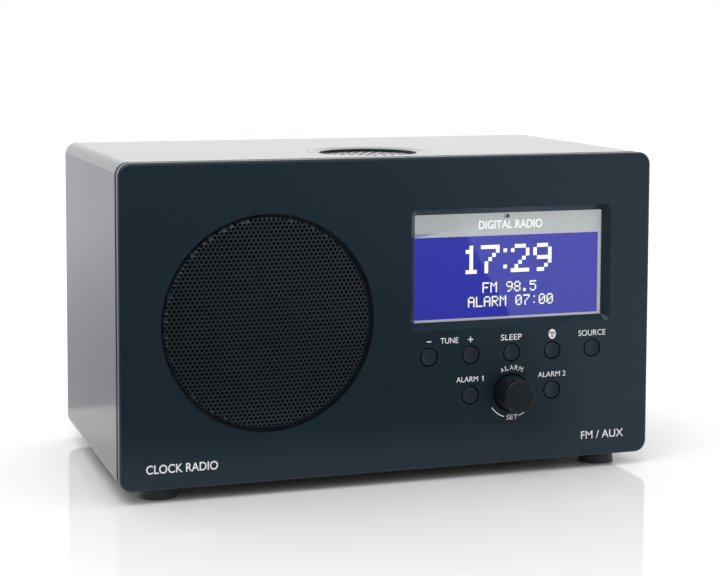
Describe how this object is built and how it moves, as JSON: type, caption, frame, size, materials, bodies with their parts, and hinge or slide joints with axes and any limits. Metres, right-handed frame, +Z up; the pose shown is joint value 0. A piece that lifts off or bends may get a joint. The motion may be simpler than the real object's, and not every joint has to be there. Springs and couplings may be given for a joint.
{
  "type": "tabletop clock radio",
  "caption": "Box-shaped clock radio with a round speaker grille, a recessed blue display, round push buttons, a knob and a perforated dish in its top.",
  "frame": {"origin": "on the table, under the middle of the radio's bounding box", "axes": "+Z up, +X to the right as seen from the front, -Y towards the listener"},
  "size_m": [0.187, 0.1104, 0.11],
  "materials": {
    "cabinet_lacquer": "satin lacquer on wood fibre board, dark slate",
    "panel_lacquer": "satin lacquered plastic, dark slate",
    "black_plastic": "moulded black plastic",
    "button_plastic": "moulded dark grey plastic",
    "knob_plastic": "satin black plastic",
    "grille_steel": "black coated perforated steel",
    "basket_steel": "pressed steel, coated",
    "magnet_iron": "zinc plated iron",
    "ferrite": "sintered ferrite",
    "cone_paper": "pressed paper",
    "surround_rubber": "soft rubber",
    "spider_cloth": "impregnated cloth",
    "coil_copper": "enamelled wire on a former",
    "foam": "closed cell foam",
    "screw_steel": "blackened steel",
    "foot_rubber": "matt black rubber",
    "clear_acrylic": "clear acrylic",
    "mask_print": "silver grey print",
    "lcd_glass": "blue liquid crystal glass",
    "white_plastic": "white moulded plastic",
    "board_laminate": "green circuit board",
    "sensor_epoxy": "dark clear epoxy",
    "disc_steel": "perforated steel, satin",
    "contact_brass": "brass",
    "cable_jacket": "flat cable",
    "can_aluminium": "sleeved aluminium can",
    "module_shield": "tinned shield"
  },
  "bodies": {
    "root": {"aerial_socket": "contact_brass", "aux_socket": "black_plastic", "back_panel": "black_plastic", "back_panel_screws": "screw_steel", "backlight": "white_plastic", "button_switches": "black_plastic", "cabinet": "cabinet_lacquer", "cable_connectors": "white_plastic", "capacitors": "can_aluminium", "control_board": "board_laminate", "control_board_screws": "screw_steel", "display_cable": "cable_jacket", "display_holder": "black_plastic", "display_lens": "clear_acrylic", "display_mask": "mask_print", "encoder_body": "black_plastic", "feet": "foot_rubber", "foot_screws": "screw_steel", "front_panel": "panel_lacquer", "front_panel_screws": "screw_steel", "headphone_socket": "black_plastic", "lcd_panel": "lcd_glass", "light_sensor": "sensor_epoxy", "main_board": "board_laminate", "main_board_screws": "screw_steel", "power_inlet": "black_plastic", "speaker_basket": "basket_steel", "speaker_front_plate": "magnet_iron", "speaker_gasket": "foam", "speaker_grille": "grille_steel", "speaker_magnet": "ferrite", "speaker_screws": "screw_steel", "speaker_spider": "spider_cloth", "speaker_surround": "surround_rubber", "speaker_yoke": "magnet_iron", "top_contact": "contact_brass", "top_grille": "disc_steel", "top_ring": "cabinet_lacquer", "wireless_module": "module_shield"},
    "tune_down_key": {"tune_down_button": "button_plastic", "tune_down_plunger": "white_plastic"},
    "tune_up_key": {"tune_up_button": "button_plastic", "tune_up_plunger": "white_plastic"},
    "sleep_key": {"sleep_button": "button_plastic", "sleep_plunger": "white_plastic"},
    "wireless_key": {"wireless_button": "button_plastic", "wireless_plunger": "white_plastic"},
    "source_key": {"source_button": "button_plastic", "source_plunger": "white_plastic"},
    "alarm_1_key": {"alarm_1_button": "button_plastic", "alarm_1_plunger": "white_plastic"},
    "alarm_2_key": {"alarm_2_button": "button_plastic", "alarm_2_plunger": "white_plastic"},
    "knob_carrier": {"encoder_plunger": "black_plastic"},
    "knob": {"tuning_knob": "knob_plastic", "encoder_shaft": "can_aluminium"},
    "cone": {"speaker_cone": "cone_paper", "dust_cap": "cone_paper", "voice_coil": "coil_copper"}
  },
  "joints": [
    {"name": "tune_down_press", "type": "slide", "parent": "root", "child": "tune_down_key", "axis": [0, 1, 0], "range_m": [0, 0.0005], "stiffness_N_per_m": 1500, "springref_m": -0.0003},
    {"name": "tune_up_press", "type": "slide", "parent": "root", "child": "tune_up_key", "axis": [0, 1, 0], "range_m": [0, 0.0005], "stiffness_N_per_m": 1500, "springref_m": -0.0003},
    {"name": "sleep_press", "type": "slide", "parent": "root", "child": "sleep_key", "axis": [0, 1, 0], "range_m": [0, 0.0005], "stiffness_N_per_m": 1500, "springref_m": -0.0003},
    {"name": "wireless_press", "type": "slide", "parent": "root", "child": "wireless_key", "axis": [0, 1, 0], "range_m": [0, 0.0005], "stiffness_N_per_m": 1500, "springref_m": -0.0003},
    {"name": "source_press", "type": "slide", "parent": "root", "child": "source_key", "axis": [0, 1, 0], "range_m": [0, 0.0005], "stiffness_N_per_m": 1500, "springref_m": -0.0003},
    {"name": "alarm_1_press", "type": "slide", "parent": "root", "child": "alarm_1_key", "axis": [0, 1, 0], "range_m": [0, 0.0005], "stiffness_N_per_m": 1500, "springref_m": -0.0003},
    {"name": "alarm_2_press", "type": "slide", "parent": "root", "child": "alarm_2_key", "axis": [0, 1, 0], "range_m": [0, 0.0005], "stiffness_N_per_m": 1500, "springref_m": -0.0003},
    {"name": "knob_press", "type": "slide", "parent": "root", "child": "knob_carrier", "axis": [0, 1, 0], "range_m": [0, 0.0008], "stiffness_N_per_m": 2000, "springref_m": -0.0004},
    {"name": "knob_turn", "type": "hinge", "parent": "knob_carrier", "child": "knob", "pos_m": [0.04165, -0.0472, 0.02865], "axis": [0, 1, 0], "continuous": true},
    {"name": "cone_stroke", "type": "slide", "parent": "root", "child": "cone", "axis": [0, 1, 0], "range_m": [-0.0015, 0.0015], "stiffness_N_per_m": 2000, "deforming": ["speaker_surround", "speaker_spider"]}
  ]
}
